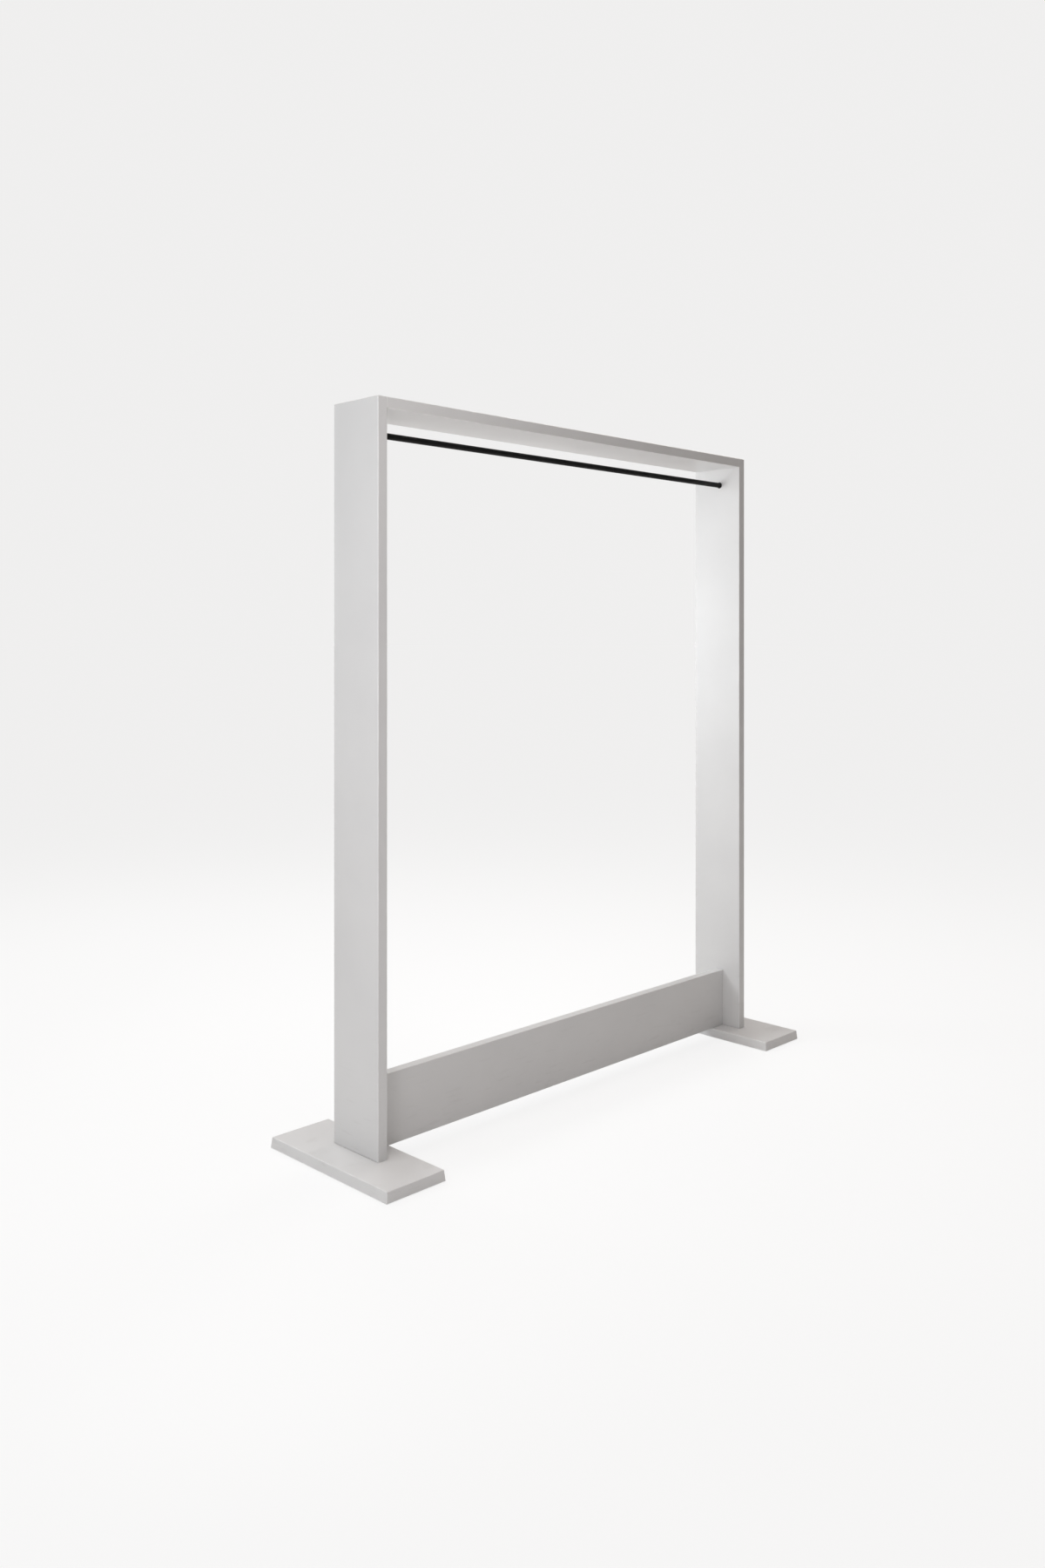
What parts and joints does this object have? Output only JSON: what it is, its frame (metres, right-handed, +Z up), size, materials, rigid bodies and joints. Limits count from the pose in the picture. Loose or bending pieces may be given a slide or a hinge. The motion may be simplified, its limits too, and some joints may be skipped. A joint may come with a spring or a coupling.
{
  "type": "free-standing display frame",
  "caption": "Free-standing gate-shaped partition frame with a header, a lower rail, flat foot plates and a turning hanging rod under the header.",
  "frame": {"origin": "on the floor, midway between the uprights and midway between the front and back edges of the foot plates", "axes": "+X along the width, +Y from the front to the back, +Z up"},
  "size_m": [1.79, 0.5, 2],
  "materials": {
    "white_lacquer": "satin white lacquer on board",
    "black_coated_steel": "matte black powder coat",
    "zinc_steel": "bright zinc plated",
    "beech": "unfinished",
    "white_plastic": "matte moulded",
    "grey_glide": "matte"
  },
  "bodies": {
    "frame": {"upright_left": "white_lacquer", "upright_right": "white_lacquer", "header_board": "white_lacquer", "lower_rail": "white_lacquer", "foot_plate_left": "white_lacquer", "foot_plate_right": "white_lacquer", "rod_socket_left": "black_coated_steel", "rod_socket_right": "black_coated_steel", "rod_socket_screws": "zinc_steel", "header_dowels": "beech", "header_cam_bolts": "zinc_steel", "header_cams": "zinc_steel", "header_cam_caps": "white_plastic", "rail_dowels": "beech", "rail_cam_bolts": "zinc_steel", "rail_cams": "zinc_steel", "rail_cam_caps": "white_plastic", "foot_bolts": "zinc_steel", "foot_bolt_washers": "zinc_steel", "foot_bolt_sleeves": "zinc_steel", "foot_dowels": "beech", "glide_pads_left": "grey_glide", "glide_pads_right": "grey_glide"},
    "rod": {"hanging_rod": "black_coated_steel"}
  },
  "joints": [
    {"name": "rod_spin", "type": "hinge", "parent": "frame", "child": "rod", "pos_m": [0, -0.01, 1.914], "axis": [1, 0, 0], "continuous": true}
  ]
}
